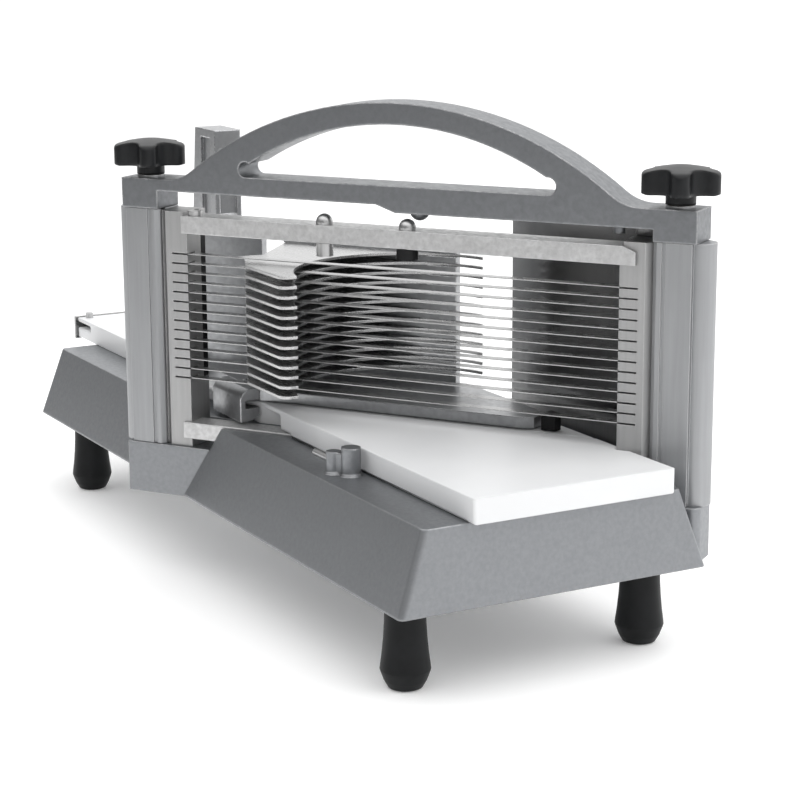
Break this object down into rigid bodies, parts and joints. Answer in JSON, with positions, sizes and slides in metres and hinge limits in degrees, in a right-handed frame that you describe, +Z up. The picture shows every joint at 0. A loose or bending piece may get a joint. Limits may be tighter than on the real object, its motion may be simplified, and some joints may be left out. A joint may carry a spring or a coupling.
{
  "type": "push tomato slicer",
  "caption": "Manual push-type tomato slicer: cast base on rubber feet, slanted frame with thin horizontal blades, carrying arch and sliding finned pusher.",
  "frame": {"origin": "on the floor under the middle of the part's bounding box", "axes": "+X along the pusher track towards the discharge end, +Y across the track away from the handle-post side, +Z up"},
  "size_m": [0.5472, 0.2246, 0.28],
  "materials": {
    "cast_base": "tumbled",
    "cast_arch": "tumbled",
    "extrusion": "satin",
    "holder": "satin",
    "bar": "tumbled",
    "plate": "polished",
    "cast_pusher": "tumbled",
    "fin": "satin",
    "blade": "ground",
    "hardware": "bright",
    "foot": "matt",
    "pad": "matt",
    "knob": "satin",
    "board": "satin",
    "brass": "turned"
  },
  "bodies": {
    "frame": {"base_casting": "cast_base", "foot_front_near": "foot", "foot_front_far": "foot", "foot_rear_near": "foot", "foot_rear_far": "foot", "foot_screws": "hardware", "front_board": "board", "rear_board": "board", "rear_end_stop": "plate", "rear_pegs": "hardware", "upright_left": "extrusion", "upright_right": "extrusion", "tie_rod_left": "hardware", "tie_rod_right": "hardware", "arch_handle": "cast_arch", "centre_pad": "pad", "holder_left": "holder", "holder_right": "holder", "side_seals": "pad", "blades": "blade", "blade_pins": "hardware", "top_bar": "bar", "bottom_bar": "bar", "cartridge_screws": "hardware", "guard_panel": "plate", "guard_screws": "hardware", "stop_screw": "hardware", "washer_left": "hardware", "washer_right": "hardware"},
    "pusher": {"pusher_body": "cast_pusher", "pusher_fins": "fin", "shoe_front": "cast_pusher", "shoe_rear": "cast_pusher", "slide_pad": "pad", "shoe_screws": "hardware"},
    "left_knob": {"knob_left": "knob", "insert_left": "brass"},
    "right_knob": {"knob_right": "knob", "insert_right": "brass"}
  },
  "joints": [
    {"name": "pusher_slide", "type": "slide", "parent": "frame", "child": "pusher", "axis": [1, 0, 0], "range_m": [-0.15, 0.095]},
    {"name": "knob_left_turn", "type": "hinge", "parent": "frame", "child": "left_knob", "pos_m": [-0.01797, -0.09153, 0.24], "axis": [0, 0, 1], "continuous": true},
    {"name": "knob_right_turn", "type": "hinge", "parent": "frame", "child": "right_knob", "pos_m": [0.24416, 0.09201, 0.24], "axis": [0, 0, 1], "continuous": true}
  ]
}
